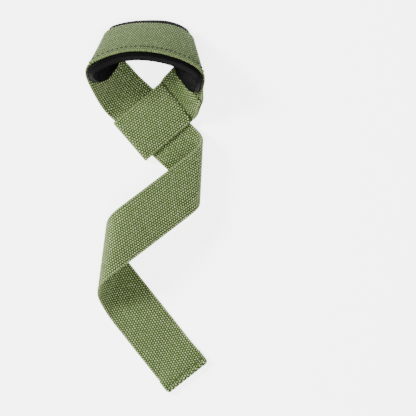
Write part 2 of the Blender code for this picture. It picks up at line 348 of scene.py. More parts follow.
    def right_leg(self, loop: list[tuple[Array, Array]]) -> list[tuple[float, Array, Array]]:
        """Return distance, centre and half ruling from the eye's fold to the tail's start."""
        span = self.fold_at + self.leg_flat
        count = int(round(span / self.step))
        leg = []
        for k in range(count):
            distance = span * k / count - self.fold_at
            leg.append((distance, *self.flat_section(self.leg_degrees, distance, self.thickness / 2)))
        distance, before = self.leg_flat, loop[0][0]
        for centre, half in loop:
            distance += float(np.linalg.norm(centre - before))
            before = centre
            leg.append((distance, centre, half))
        return leg

    def upper_layer(self, leg: list[tuple[float, Array, Array]], cut: float) -> list[tuple[Array, Array, float]]:
        """Return the sewn end and the eye's upper layer, from the cut end to the fold."""
        tangents = np.gradient(np.array([row[1] for row in leg]), axis=0)
        rows = []
        for (distance, centre, half), tangent in zip(leg, tangents):
            if distance > cut:
                break
            lift = unit(np.cross(tangent, half))
            drop = ease((distance - self.corner) / (self.seam_at - self.corner))
            rows.append((centre + lift * self.layer * (2.0 - drop), half, 1.0))
        rows.reverse()
        return rows

    def eye_fold(self) -> list[tuple[Array, Array, float]]:
        """Return the half turn that closes the eye."""
        ahead = heading(self.leg_degrees)
        middle = self.crossing - ahead * self.fold_at + UP * (self.thickness / 2 + self.layer)
        half = np.cross(UP, ahead) * self.width / 2
        rows = []
        for k in range(1, self.fold_steps):
            angle = math.pi * k / self.fold_steps
            offset = (UP * math.cos(angle) - ahead * math.sin(angle)) * self.layer
            rows.append((middle + offset, half, 1.0))
        return rows

    def eye_passage(self) -> list[tuple[Array, Array, float]]:
        """Return the level part of the tail inside the eye before the crossing."""
        count = int(round(self.passage / self.step))
        height = self.thickness / 2 + self.layer
        return [
            (*self.flat_section(self.tail_degrees, self.passage * (k / count - 1), height), 1.0)
            for k in range(1, count)
        ]

    def loose_tail(self) -> list[tuple[Array, Array, float]]:
        """Return the tail and the hem folded under its end."""
        tail, tangent = self.landed_tail()
        end = tail[-1][0]
        ahead = unit(tangent * np.array([1.0, 1.0, 0.0]))
        side = np.cross(UP, ahead)
        rows = []
        for k, (centre, ruling) in enumerate(tail):
            left = self.tail_length * (1.0 - k / (len(tail) - 1))
            rise = self.layer * ease(1.0 - (left - self.hem_length) / self.hem_lead)
            wide = ease(1.0 - (left - self.hem_length / 2) / self.hem_length)
            rows.append((centre + UP * rise, ruling, 1.0 + (self.hem_flare - 1.0) * wide))
        middle = end + UP * (self.layer / 2)
        for k in range(1, self.fold_steps):
            angle = math.pi * k / self.fold_steps
            spot = middle + (UP * math.cos(angle) + ahead * math.sin(angle)) * (self.layer / 2)
            flare = self.hem_flare + (self.hem_round - self.hem_flare) * math.sin(angle)
            rows.append((spot, side, flare))
        under = int(round(self.hem_length / self.step))
        for k in range(under + 1):
            rows.append((end - ahead * self.hem_length * k / under, side, self.hem_flare))
        return rows


@dataclass(frozen=True)
class Strip:
    """The webbing's middle surface, sampled from its cut end to its hem."""

    centre: Array
    ruling: Array
    normal: Array
    tangent: Array
    place: Array
    slope: Array
    band_from: float
    pad_from: float
    seam_at: float

    @classmethod
    def along(cls, line: StripLine) -> "Strip":
        """Sample the line and set the strip where its solid lies.

        Args:
            line: The line that the webbing follows.

        Returns:
            The strip, in the part's own frame.
        """
        loop = line.wrist_loop()
        leg = line.right_leg(loop)
        pad_start = (line.leg_flat + leg[-1][0]) / 2 - line.pad_right
        upper = line.upper_layer(leg, pad_start - line.pad_end_gap)
        fold = line.eye_fold()
        lower = [(centre, half, 1.0) for _distance, centre, half in leg]
        rows = upper + fold + lower + line.eye_passage() + line.loose_tail()
        centre = np.array([row[0] for row in rows])
        raw = np.array([row[1] for row in rows])
        width = np.array([row[2] for row in rows])
        tangent = np.gradient(centre, axis=0)
        tangent /= np.linalg.norm(tangent, axis=1)[:, None]
        normal = np.cross(tangent, raw)
        normal /= np.linalg.norm(normal, axis=1)[:, None]
        square = np.linalg.norm(raw - tangent * (raw * tangent).sum(axis=1)[:, None], axis=1)
        ruling = raw / square[:, None] * width[:, None]
        place = np.concatenate([[0.0], np.cumsum(np.linalg.norm(np.diff(centre, axis=0), axis=1))])
        half, deep = line.width / 2, line.thickness / 2
        corners = np.concatenate(
            [centre + ruling * a * half + normal * b * deep for a in (-1, 1) for b in (-1, 1)]
        )
        low, high = (np.array(corner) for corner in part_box("webbing_strap"))
        shift = (low + high) / 2 - (corners.min(axis=0) + corners.max(axis=0)) / 2
        shift[2] = low[2] - corners[:, 2].min()
        band_from = float(place[len(upper) + len(fold)])
        return cls(
            centre + shift, ruling, normal, tangent, place, (ruling * tangent).sum(axis=1),
            band_from, band_from + line.fold_at + pad_start, band_from + line.fold_at + line.seam_at,
        )

    @property
    def length(self) -> float:
        """Return the webbing's whole length."""
        return float(self.place[-1])

    def sample(self, places: Array) -> tuple[Array, Array, Array]:
        """Return middles, rulings and normals at places along the strip."""
        places = np.atleast_1d(places)
        columns = [
            np.stack([np.interp(places, self.place, table[:, k]) for k in range(3)], axis=1)
            for table in (self.centre, self.ruling, self.normal)
        ]
        return columns[0], columns[1], columns[2] / np.linalg.norm(columns[2], axis=1)[:, None]

    def surface(self, places: Array, across: Array | float, depth: Array | float) -> Array:
        """Return points at places, distances across and depths over the middle surface."""
        middle, ruling, normal = self.sample(places)
        across = np.broadcast_to(across, len(middle))[:, None]
        depth = np.broadcast_to(depth, len(middle))[:, None]
        return middle + ruling * across + normal * depth

    def woven_places(self, marks: Array, across: float) -> Array:
        """Return the places whose rulings pass through marks woven square across.

        Args:
            marks: Distances along the flat webbing.
            across: Distance from the middle line.

        Returns:
            Places on the middle line, one for each mark.
        """
        reach = np.maximum.accumulate(self.place + across * self.slope)
        return np.interp(marks, reach + np.arange(len(reach)) * 1e-12, self.place)


@dataclass
class Cloud:
    """Points with the directions in which a yarn form lies on each of them."""

    points: list[Array] = field(default_factory=list)
    warp: list[Array] = field(default_factory=list)
    out: list[Array] = field(default_factory=list)
    stretch: list[Array] = field(default_factory=list)

    def add(self, points: Array, warp: Array, out: Array, stretch: Array) -> None:
        """Add points with their lengthwise and outward directions and their stretch."""
        self.points.append(points)
        self.warp.append(warp)
        self.out.append(out)
        self.stretch.append(stretch)

    def mesh(self, name: str) -> bpy.types.Mesh:
        """Return a mesh of loose points that carries the directions as attributes."""
        points = np.concatenate(self.points)
        made = bpy.data.meshes.new(name)
        made.vertices.add(len(points))
        made.vertices.foreach_set("co", points.ravel())
        for label, rows in (("warp", self.warp), ("face_out", self.out)):
            layer = made.attributes.new(label, "FLOAT_VECTOR", "POINT")
            layer.data.foreach_set("vector", np.concatenate(rows).ravel())
        layer = made.attributes.new("stretch", "FLOAT", "POINT")
        layer.data.foreach_set("value", np.concatenate(self.stretch))
        return made


def add_node(
    tree: bpy.types.NodeTree, kind: str, inputs: dict[int | str, object] | None = None, **options: object
) -> bpy.types.Node:
    """Add a node to a tree.

    Args:
        tree: The tree that gets the node.
        kind: The node's type name.
        inputs: Values or output sockets for its inputs, by name or number.
        **options: The node's own settings.

    Returns:
        The new node.
    """
    node = tree.nodes.new(kind)
    for name, value in options.items():
        setattr(node, name, value)
    for key, value in (inputs or {}).items():
        if isinstance(value, bpy.types.NodeSocket):
            tree.links.new(value, node.inputs[key])
        else:
            node.inputs[key].default_value = value
    return node


def colour(code: str) -> tuple[float, float, float, float]:
    """Return a linear colour from an sRGB hex code."""
    parts = [int(code[k : k + 2], 16) / 255 for k in (1, 3, 5)]
    linear = [p / 12.92 if p <= 0.04045 else ((p + 0.055) / 1.055) ** 2.4 for p in parts]
    return linear[0], linear[1], linear[2], 1.0


def new_material(name: str) -> tuple[bpy.types.Material, bpy.types.NodeTree, bpy.types.Node]:
    """Return a material with its tree and its surface shader."""
    made = bpy.data.materials.new(name)
    made.use_nodes = True
    return made, made.node_tree, made.node_tree.nodes["Principled BSDF"]


def blend_colours(
    tree: bpy.types.NodeTree, share: bpy.types.NodeSocket, first: str, second: str
) -> bpy.types.NodeSocket:
    """Return a mix of two hex colours by a share from 0 to 1."""
    ramp = add_node(tree, "ShaderNodeValToRGB", {"Fac": share})
    ramp.color_ramp.elements[0].color = colour(first)
    ramp.color_ramp.elements[1].color = colour(second)
    return ramp.outputs["Color"]


@dataclass(frozen=True)
class YarnFinish:
    """Plied cotton yarn: it gives the eye two close greens and the slant of the plies."""

    name: str = "cotton_yarn"
    light: str = "#A7B487"
    dark: str = "#8A9A63"
    ply_pitch: float = 0.00042
    ply_relief: float = 0.00005
    roughness: float = 0.88
    sheen: float = 0.18

    def make(self) -> bpy.types.Material:
        """Return the material."""
        made, tree, shader = new_material(self.name)
        tone = add_node(tree, "ShaderNodeAttribute", attribute_name="tone")
        form = add_node(tree, "ShaderNodeAttribute", attribute_name="yarn_place")
        slant = add_node(
            tree, "ShaderNodeMapping",
            {"Vector": form.outputs["Vector"], "Rotation": (0.0, 0.0, math.radians(32.0))},
        )
        plies = add_node(
            tree, "ShaderNodeTexWave",
            {"Vector": slant.outputs[0], "Scale": 0.314 / self.ply_pitch, "Distortion": 1.2, "Detail": 1.0},
            wave_type="BANDS", bands_direction="X",
        )
        relief = add_node(
            tree, "ShaderNodeBump",
            {"Height": plies.outputs["Fac"], "Distance": self.ply_relief, "Strength": 0.7},
        )
        shade = blend_colours(tree, tone.outputs["Fac"], self.dark, self.light)
        tree.links.new(shade, shader.inputs["Base Color"])
        tree.links.new(relief.outputs[0], shader.inputs["Normal"])
        shader.inputs["Roughness"].default_value = self.roughness
        shader.inputs["Specular IOR Level"].default_value = 0.18
        shader.inputs["Sheen Weight"].default_value = self.sheen
        shader.inputs["Sheen Roughness"].default_value = 0.6
        return made


@dataclass(frozen=True)
class GroundFinish:
    """The weft under the floats: it gives the eye the dark green between the yarns."""

    name: str = "cotton_ground"
    light: str = "#43542A"
    dark: str = "#2B3A18"
    weft_pitch: float = 0.00095
    weft_relief: float = 0.00012

    def make(self) -> bpy.types.Material:
        """Return the material."""
        made, tree, shader = new_material(self.name)
        place = add_node(tree, "ShaderNodeUVMap", uv_map="laid_flat")
        weft = add_node(
            tree, "ShaderNodeTexWave",
            {"Vector": place.outputs[0], "Scale": 0.314 / self.weft_pitch, "Distortion": 0.6},
            wave_type="BANDS", bands_direction="X",
        )
        lint = add_node(
            tree, "ShaderNodeTexNoise", {"Vector": place.outputs[0], "Scale": 900.0, "Detail": 3.0}
        )
        relief = add_node(
            tree, "ShaderNodeBump",
            {"Height": weft.outputs["Fac"], "Distance": self.weft_relief, "Strength": 0.8},
        )
        shade = blend_colours(tree, lint.outputs["Fac"], self.dark, self.light)
        tree.links.new(shade, shader.inputs["Base Color"])
        tree.links.new(relief.outputs[0], shader.inputs["Normal"])
        shader.inputs["Roughness"].default_value = 0.95
        shader.inputs["Specular IOR Level"].default_value = 0.1
        return made


@dataclass(frozen=True)
class KnitFinish:
    """Black knit on the pad's two faces: it gives the eye a soft matt face of fine loops."""

    name: str = "black_knit"
    light: str = "#050505"
    dark: str = "#020202"
    loop_pitch: float = 0.0007
    relief: float = 0.00009

    def make(self) -> bpy.types.Material:
        """Return the material."""
        made, tree, shader = new_material(self.name)
        place = add_node(tree, "ShaderNodeUVMap", uv_map="laid_flat")
        courses = [
            add_node(
                tree, "ShaderNodeTexWave",
                {"Vector": place.outputs[0], "Scale": 0.314 / self.loop_pitch, "Distortion": 1.5, "Detail": 1.0},
                wave_type="BANDS", bands_direction=direction,
            )
            for direction in ("X", "Y")
        ]
        loops = add_node(
            tree, "ShaderNodeMath",
            {0: courses[0].outputs["Fac"], 1: courses[1].outputs["Fac"]}, operation="MULTIPLY",
        )
        relief = add_node(
            tree, "ShaderNodeBump", {"Height": loops.outputs[0], "Distance": self.relief, "Strength": 0.8}
        )
        shade = blend_colours(tree, loops.outputs[0], self.dark, self.light)
        tree.links.new(shade, shader.inputs["Base Color"])
        tree.links.new(relief.outputs[0], shader.inputs["Normal"])
        shader.inputs["Roughness"].default_value = 0.8
        shader.inputs["Specular IOR Level"].default_value = 0.08
        return made


@dataclass(frozen=True)
class FoamFinish:
    """Closed-cell foam at the pad's cut edge: it gives the eye a grey-black face of fine pores."""

    name: str = "cut_foam"
    light: str = "#070707"
    dark: str = "#030303"
    pore: float = 0.0003

    def make(self) -> bpy.types.Material:
        """Return the material."""
        made, tree, shader = new_material(self.name)
        place = add_node(tree, "ShaderNodeTexCoord")
        pores = add_node(
            tree, "ShaderNodeTexVoronoi",
            {"Vector": place.outputs["Object"], "Scale": 1.0 / self.pore, "Randomness": 1.0},
        )
        relief = add_node(
            tree, "ShaderNodeBump", {"Height": pores.outputs["Distance"], "Distance": 0.00006, "Strength": 0.8}
        )
        shade = blend_colours(tree, pores.outputs["Distance"], self.dark, self.light)
        tree.links.new(shade, shader.inputs["Base Color"])
        tree.links.new(relief.outputs[0], shader.inputs["Normal"])
        shader.inputs["Roughness"].default_value = 0.75
        shader.inputs["Specular IOR Level"].default_value = 0.14
        return made


@dataclass(frozen=True)
class FloorFinish:
    """Lit white table: it gives the eye a plain bright surface with no shadow in its openings."""

    name: str = "lit_white_table"
    tint: str = "#FBFBFB"
    glow: float = 4.0

    def make(self) -> bpy.types.Material:
        """Return the material."""
        made, tree, shader = new_material(self.name)
        place = add_node(tree, "ShaderNodeTexCoord")
        tooth = add_node(
            tree, "ShaderNodeTexNoise", {"Vector": place.outputs["Object"], "Scale": 700.0, "Detail": 2.0}
        )
        relief = add_node(
            tree, "ShaderNodeBump", {"Height": tooth.outputs["Fac"], "Distance": 0.00002, "Strength": 0.3}
        )
        tree.links.new(relief.outputs[0], shader.inputs["Normal"])
        shader.inputs["Base Color"].default_value = colour(self.tint)
        shader.inputs["Emission Color"].default_value = colour(self.tint)
        shader.inputs["Emission Strength"].default_value = self.glow
        shader.inputs["Roughness"].default_value = 0.95
        shader.inputs["Specular IOR Level"].default_value = 0.05
        return made


class YarnTree:
    """Geometry Nodes tree that lays one spindle of yarn on every point of a cloud."""

    SIZES = (("Length", 0.002), ("Width", 0.0016), ("Height", 0.0008), ("End Dip", 0.0001))
    SPREADS = (("Size Spread", 0.08), ("Turn Spread", 0.07))

    def __init__(self) -> None:
        """Build the tree with its named inputs."""
        self.tree = bpy.data.node_groups.new("laid_yarn", "GeometryNodeTree")
        face = self.tree.interface
        face.new_socket("Points", in_out="INPUT", socket_type="NodeSocketGeometry")
        for name, value in self.SIZES + self.SPREADS:
            face.new_socket(name, in_out="INPUT", socket_type="NodeSocketFloat").default_value = value
        for name, value in (("Sides", 6), ("Rings", 4), ("Seed", 1)):
            face.new_socket(name, in_out="INPUT", socket_type="NodeSocketInt").default_value = value
        face.new_socket("Finish", in_out="INPUT", socket_type="NodeSocketMaterial")
        face.new_socket("Yarn", in_out="OUTPUT", socket_type="NodeSocketGeometry")
        self.keys = {
            item.name: item.identifier for item in face.items_tree if getattr(item, "in_out", "") == "INPUT"
        }
        self._wire()

    def _spindle(self, given: bpy.types.Node) -> bpy.types.NodeSocket:
        """Return one spindle along X that keeps its own coordinates and dips at its ends."""
        tree = self.tree
        ball = add_node(
            tree, "GeometryNodeMeshUVSphere",
            {"Segments": given.outputs["Sides"], "Rings": given.outputs["Rings"], "Radius": 0.5},
        )
        laid = add_node(
            tree, "GeometryNodeTransform",
            {"Geometry": ball.outputs["Mesh"], "Rotation": (0.0, math.pi / 2, 0.0)},
        )
        sizes = add_node(
            tree, "ShaderNodeCombineXYZ",
            {"X": given.outputs["Length"], "Y": given.outputs["Width"], "Z": given.outputs["Height"]},
        )
        sized = add_node(
            tree, "GeometryNodeTransform", {"Geometry": laid.outputs[0], "Scale": sizes.outputs[0]}
        )
        place = add_node(tree, "GeometryNodeInputPosition")
        kept = add_node(
            tree, "GeometryNodeStoreNamedAttribute",
            {"Geometry": sized.outputs[0], "Name": "yarn_place", "Value": place.outputs[0]},
            data_type="FLOAT_VECTOR", domain="POINT",
        )
        axes = add_node(tree, "ShaderNodeSeparateXYZ", {0: place.outputs[0]})
        share = add_node(
            tree, "ShaderNodeMath", {0: axes.outputs["X"], 1: given.outputs["Length"]}, operation="DIVIDE"
        )
        square = add_node(
            tree, "ShaderNodeMath", {0: share.outputs[0], 1: share.outputs[0]}, operation="MULTIPLY"
        )
        dip = add_node(
            tree, "ShaderNodeMath", {0: square.outputs[0], 1: given.outputs["End Dip"]}, operation="MULTIPLY"
        )
        down = add_node(tree, "ShaderNodeMath", {0: dip.outputs[0], 1: -4.0}, operation="MULTIPLY")
        offset = add_node(tree, "ShaderNodeCombineXYZ", {"Z": down.outputs[0]})
        bent = add_node(
            tree, "GeometryNodeSetPosition", {"Geometry": kept.outputs[0], "Offset": offset.outputs[0]}
        )
        smooth = add_node(tree, "GeometryNodeSetShadeSmooth", {"Geometry": bent.outputs[0]})
        return smooth.outputs[0]

    def _random(self, given: bpy.types.Node, low: float, high: float, shift: int) -> bpy.types.NodeSocket:
        """Return a seeded random number from low to high."""
        seed = add_node(
            self.tree, "ShaderNodeMath", {0: given.outputs["Seed"], 1: float(shift)}, operation="ADD"
        )
        node = add_node(self.tree, "FunctionNodeRandomValue", {"Seed": seed.outputs[0]}, data_type="FLOAT")
        node.inputs[2].default_value, node.inputs[3].default_value = low, high
        return node.outputs[1]

    def _wire(self) -> None:
        """Link the tree from its points to its output."""
        tree = self.tree
        given = add_node(tree, "NodeGroupInput")
        named = [
            add_node(tree, "GeometryNodeInputNamedAttribute", {"Name": label}, data_type=kind).outputs[0]
            for label, kind in (("warp", "FLOAT_VECTOR"), ("face_out", "FLOAT_VECTOR"), ("stretch", "FLOAT"))
        ]
        turn = add_node(
            tree, "FunctionNodeAxesToRotation", {0: named[0], 1: named[1]},
            primary_axis="X", secondary_axis="Z",
        )
        swing = add_node(
            tree, "ShaderNodeMath",
            {0: self._random(given, -1.0, 1.0, 0), 1: given.outputs["Turn Spread"]}, operation="MULTIPLY",
        )
        about = add_node(tree, "ShaderNodeCombineXYZ", {"Z": swing.outputs[0]})
        jittered = add_node(
            tree, "FunctionNodeRotateRotation",
            {0: turn.outputs[0], 1: about.outputs[0]}, rotation_space="LOCAL",
        )
        vary = add_node(
            tree, "ShaderNodeMath",
            {0: self._random(given, -1.0, 0.0, 7), 1: given.outputs["Size Spread"], 2: 1.0},
            operation="MULTIPLY_ADD",
        )
        size = add_node(
            tree, "ShaderNodeCombineXYZ", {"X": named[2], "Y": vary.outputs[0], "Z": vary.outputs[0]}
        )
        laid = add_node(
            tree, "GeometryNodeInstanceOnPoints",
            {
                "Points": given.outputs["Points"], "Instance": self._spindle(given),
                "Rotation": jittered.outputs[0], "Scale": size.outputs[0],
            },
        )
        toned = add_node(
            tree, "GeometryNodeStoreNamedAttribute",
            {"Geometry": laid.outputs[0], "Name": "tone", "Value": self._random(given, 0.0, 1.0, 19)},
            data_type="FLOAT", domain="INSTANCE",
        )
        real = add_node(tree, "GeometryNodeRealizeInstances", {"Geometry": toned.outputs[0]})
        dressed = add_node(
            tree, "GeometryNodeSetMaterial",
            {"Geometry": real.outputs[0], "Material": given.outputs["Finish"]},
        )
        add_node(tree, "NodeGroupOutput", {0: dressed.outputs[0]})

    def grow(self, name: str, cloud: Cloud, finish: bpy.types.Material, **sizes: float) -> bpy.types.Object:
        """Lay yarn on a cloud and return it as a plain mesh piece.

        Args:
            name: The piece's name.
            cloud: Where each spindle lies.
            finish: Its material.
            **sizes: The tree's inputs, by name in lower case with underscores.

        Returns:
            The piece.
        """
        piece = bpy.data.objects.new(name, cloud.mesh(name + "_points"))
        bpy.context.scene.collection.objects.link(piece)
        modifier = piece.modifiers.new("laid_yarn", "NODES")
        modifier.node_group = self.tree
        modifier[self.keys["Finish"]] = finish
        for label, value in sizes.items():
            modifier[self.keys[label.replace("_", " ").title()]] = value
        ready = piece.evaluated_get(bpy.context.evaluated_depsgraph_get())
        made = bpy.data.meshes.new_from_object(ready)
        piece.modifiers.remove(modifier)
        spent = piece.data
        made.name = name
        piece.data = made
        bpy.data.meshes.remove(spent)
        for label in ("warp", "face_out", "stretch"):
            if label in made.attributes:
                made.attributes.remove(made.attributes[label])
        return piece


def lofted(
    name: str, rings: Array, places: Array, across: Array, caps: bool = True
) -> tuple[bpy.types.Mesh, int]:
    """Loft rings of points into a closed mesh that keeps a flat UV layout.

    Args:
        name: The mesh's name.
        rings: Points as ring, corner, axis.
        places: Distance along the flat piece of each ring.
        across: Distance across the flat piece of each corner.
        caps: Whether to close both ends with one face.

    Returns:
        The mesh and the number of corners in a ring.
    """
    count, size = rings.shape[:2]
    faces: list[tuple[int, ...]] = []
    for k in range(count - 1):
        for j in range(size):
            a, b = k * size + j, k * size + (j + 1) % size
            faces.append((a, a + size, b + size, b))
    if caps:
        last = (count - 1) * size
        faces.append(tuple(range(size)))
        faces.append(tuple(last + size - 1 - j for j in range(size)))
    made = bpy.data.meshes.new(name)
    made.from_pydata(rings.reshape(-1, 3).tolist(), [], faces)
    layout = made.uv_layers.new(name="laid_flat")
    corners = np.zeros(len(made.loops), dtype=np.int32)
    made.loops.foreach_get("vertex_index", corners)
    flat = np.stack([places[corners // size], across[corners % size]], axis=1)
    layout.data.foreach_set("uv", flat.astype(np.float32).ravel())
    return made, size


def add_piece(name: str, mesh: bpy.types.Mesh, *finishes: bpy.types.Material) -> bpy.types.Object:
    """Link a mesh as a smooth piece with its finishes, its faces turned outwards."""
    for finish in finishes:
        mesh.materials.append(finish)
    shell = bmesh.new()
    shell.from_mesh(mesh)
    bmesh.ops.recalc_face_normals(shell, faces=shell.faces)
    for face in shell.faces:
        face.smooth = True
    shell.to_mesh(mesh)
    shell.free()
    piece = bpy.data.objects.new(name, mesh)
    bpy.context.scene.collection.objects.link(piece)
    return piece


class Side(Enum):
    """The two faces of the webbing, as the side of its normal."""

    WITH_NORMAL = 1
    AGAINST_NORMAL = -1


@dataclass(frozen=True)
class Webbing:
    """The cotton webbing: its ground, its woven floats on both faces and its selvedges."""

    strip: Strip
    width: float = 0.038
    ground_half: float = 0.00078
    edge_inset: float = 0.00045
    ribs: int = 20
    rib_pitch: float = 0.00184
    float_pitch: float = 0.0019
    float_length: float = 0.00178
    float_width: float = 0.00152
    float_height: float = 0.00095
    float_rise: float = 0.0006
    end_dip: float = 0.00034
    closest: float = 0.55
    loop_share: float = 0.56
    band_length: float = 0.1257

    def ground(self, finish: bpy.types.Material) -> bpy.types.Object:
        """Return the closed strip of weft that the floats lie on."""
        half, deep = self.width / 2 - self.edge_inset, self.ground_half
        corners = [
            (-half + 0.0006, -deep), (half - 0.0006, -deep), (half - 0.00018, -deep * 0.62), (half, 0.0),
            (half - 0.00018, deep * 0.62), (half - 0.0006, deep), (-half + 0.0006, deep),
            (-half + 0.00018, deep * 0.62), (-half, 0.0), (-half + 0.00018, -deep * 0.62),
        ]
        strip = self.strip
        rings = np.stack([strip.surface(strip.place, v, d) for v, d in corners], axis=1)
        mesh, _size = lofted("webbing_ground", rings, strip.place, np.array([v for v, _d in corners]))
        return add_piece("webbing_ground", mesh, finish)

    def _row(self, across: float, side: Side, phase: float, bounds: tuple[float, float]) -> tuple[Array, ...]:
        """Return points, directions and stretch of one rib's floats on one face."""
        strip = self.strip
        marks = np.arange(bounds[0] + phase * self.float_pitch, bounds[1], self.float_pitch)
        marks = marks[(marks > 0.0012) & (marks < strip.length - 0.0008)]
        step = self.float_pitch * 0.3
        depth = side.value * self.float_rise
        spots = [strip.surface(strip.woven_places(marks + s, across), across, depth) for s in (-step, 0, step)]
        warp = spots[2] - spots[0]
        length = np.linalg.norm(warp, axis=1)
        stretch = length / (2 * step)
        _middle, _ruling, normal = strip.sample(strip.woven_places(marks, across))
        keep = stretch > self.closest
        warp = warp[keep] / length[keep, None]
        return spots[1][keep], warp, normal[keep] * side.value, np.minimum(stretch[keep], 1.35)

    def weave(self, yarn: YarnTree, side: Side, bounds: tuple[float, float], name: str,
              finish: bpy.types.Material, seed: int) -> bpy.types.Object:
        """Return the floats on one face between two places.

        Args:
            yarn: The tree that lays them.
            side: The face that they lie on.
            bounds: First and last place along the webbing.
            name: The piece's name.
            finish: Their material.
            seed: Seed for their tone and size.

        Returns:
            The piece.
        """
        cloud = Cloud()
        for rib in range(self.ribs):
            across = (rib - (self.ribs - 1) / 2) * self.rib_pitch
            offset = 0.5 * (rib % 2) + (0.5 if side is Side.AGAINST_NORMAL else 0.0)
            cloud.add(*self._row(across, side, offset, bounds))
        return yarn.grow(
            name, cloud, finish, seed=seed, length=self.float_length, width=self.float_width,
            height=self.float_height, end_dip=self.end_dip,
        )

    def selvedges(self, yarn: YarnTree, finish: bpy.types.Material) -> bpy.types.Object:
        """Return the weft turns that wrap both edges."""
        strip, cloud = self.strip, Cloud()
        for edge in (-1.0, 1.0):
            across = edge * (self.width / 2 - 0.00062)
            marks = np.arange(0.0014, strip.length - 0.0008, self.float_pitch * 0.75)
            places = strip.woven_places(marks, across)
            points = strip.surface(places, across, 0.0)
            ahead = strip.surface(strip.woven_places(marks + 0.0003, across), across, 0.0) - points
            length = np.linalg.norm(ahead, axis=1)
            _middle, ruling, normal = strip.sample(places)
            along = ahead / np.maximum(length, 1e-9)[:, None]
            out = np.cross(normal, along)
            out *= np.sign((out * ruling).sum(axis=1))[:, None] * edge
            keep = length > 0.0003 * 0.4
            cloud.add(points[keep], normal[keep], out[keep], np.ones(int(keep.sum())))
        return yarn.grow(
            "webbing_selvedges", cloud, finish, seed=31, length=0.00195, width=0.0012, height=0.0012,
            end_dip=0.0003, size_spread=0.15,
        )

    def build(self, yarn: YarnTree) -> list[bpy.types.Object]:
        cotton = YarnFinish().make()
        turns = YarnFinish("selvedge_yarn", "#76874F", "#5C6B39").make()
        ground = self.ground(GroundFinish().make())
        # Darker yarn for the band's outer face: partly painted shade, because that face leans away from the key
        # light, and partly a greyer green of the band's own.
        band_shade_yarn = YarnFinish("band_shaded_yarn", "#747F5E", "#566044").make()
        middle, start = self.strip.length * self.loop_share, self.strip.pad_from
        spans = [
            ("loop", Side.WITH_NORMAL, (0.0, middle), cotton),
            ("tail", Side.WITH_NORMAL, (middle, self.strip.length), cotton),
            ("sewn_end", Side.AGAINST_NORMAL, (0.0, start), cotton),
            ("band", Side.AGAINST_NORMAL, (start, start + self.band_length), band_shade_yarn),
            ("leg", Side.AGAINST_NORMAL, (start + self.band_length, middle), cotton),
            ("tail", Side.AGAINST_NORMAL, (middle, self.strip.length), cotton),
        ]
        floats = [
            self.weave(yarn, side, bounds, f"weave_{label}_{side.name.lower()}", finish, seed)
            for seed, (label, side, bounds, finish) in enumerate(spans, 11)
        ]
        pieces = [ground, *floats, self.selvedges(yarn, turns)]
        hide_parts("webbing_strap")
        for piece in pieces:
            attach(piece, "root")
        return pieces


@dataclass(frozen=True)
class Stitching:
    """The sewn rows: pad to band, the eye's seam and the hem."""

    strip: Strip
    half_width: float = 0.019
    pad_length: float = 0.1257
    row_inset: float = 0.0053
    end_inset: float = 0.005
    stitch: float = 0.0025
    pitch: float = 0.0033
    rise: float = 0.00112
    hem_row: float = 0.0052

    def _along(self, cloud: Cloud, across: float, first: float, last: float, depth: float) -> None:
        """Add one row that runs with the webbing."""
        strip = self.strip
        places = np.arange(first, last, self.pitch)
        points = strip.surface(places, across, depth)
        warp = strip.surface(places + 0.0004, across, depth) - strip.surface(places - 0.0004, across, depth)
        warp /= np.linalg.norm(warp, axis=1)[:, None]
        _middle, _ruling, normal = strip.sample(places)
        cloud.add(points, warp, normal * math.copysign(1.0, depth), np.ones(len(places)))

    def _across(self, cloud: Cloud, place: float, reach: float, depth: float) -> None:
        """Add one row that runs square across the webbing."""
        strip = self.strip
        offsets = np.arange(-reach, reach + 1e-6, self.pitch * 0.9)
        points = np.concatenate([strip.surface(np.array([place]), v, depth) for v in offsets])
        _middle, ruling, normal = strip.sample(np.full(len(offsets), place))
        warp = ruling / np.linalg.norm(ruling, axis=1)[:, None]
        cloud.add(points, warp, normal * math.copysign(1.0, depth), np.ones(len(offsets)))

    def build(self, yarn: YarnTree) -> list[bpy.types.Object]:
        """Build the rows and return their pieces."""
        # The band row's thread is darker than the seam thread: partly its own dark green, partly painted shade of
        # the groove the stitches sink into.
        dark = YarnFinish("band_thread", "#1E2911", "#131B0A", 0.0003, 0.00004, 0.7, 0.05).make()
        green = YarnFinish("seam_thread", "#44552A", "#34431E", 0.0003, 0.00004, 0.7, 0.05).make()
        strip = self.strip
        band, seam, hem = Cloud(), Cloud(), Cloud()
        first, last = strip.pad_from + self.end_inset, strip.pad_from + self.pad_length - self.end_inset
        self._along(band, -self.half_width + self.row_inset, first, last, -self.rise)
        top = strip.length - 0.009 - self.hem_row
        self._across(hem, top - 0.002, self.half_width - 0.002, self.rise)
        upper = 2 * strip.band_from - strip.seam_at - 0.0055
        self._across(seam, upper, self.half_width - 0.0025, -self.rise)
        made = []
        rows = (("band_stitches", band, dark), ("eye_stitches", seam, green), ("hem_stitches", hem, green))
        for seed, (name, cloud, thread) in enumerate(rows, 5):
            made.append(
                yarn.grow(
                    name, cloud, thread, seed=seed, length=self.stitch, width=0.00125, height=0.0008,
                    end_dip=0.0003, sides=8, rings=6,
                )
            )
        for piece in made:
            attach(piece, "root")
        return made


